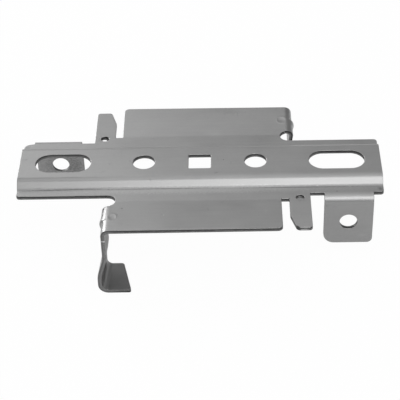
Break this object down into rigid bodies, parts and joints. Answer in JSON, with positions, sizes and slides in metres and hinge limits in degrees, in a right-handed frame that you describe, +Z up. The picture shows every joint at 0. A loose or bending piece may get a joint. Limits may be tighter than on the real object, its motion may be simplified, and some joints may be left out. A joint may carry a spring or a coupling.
{
  "type": "stamped metal bracket",
  "caption": "Folded sheet steel mounting bracket: raised channel with end slots, wings with footed legs, tapered fingers and drilled ears.",
  "frame": {"origin": "middle of the bracket, level with the underside of the feet", "axes": "+X along the channel, +Z up out of the channel's top face, +Y towards the wing whose leg is on the +X side"},
  "size_m": [0.136, 0.075, 0.0321],
  "materials": {
    "steel": "satin, zinc plated"
  },
  "bodies": {
    "root": {"bracket": "steel"}
  },
  "joints": []
}
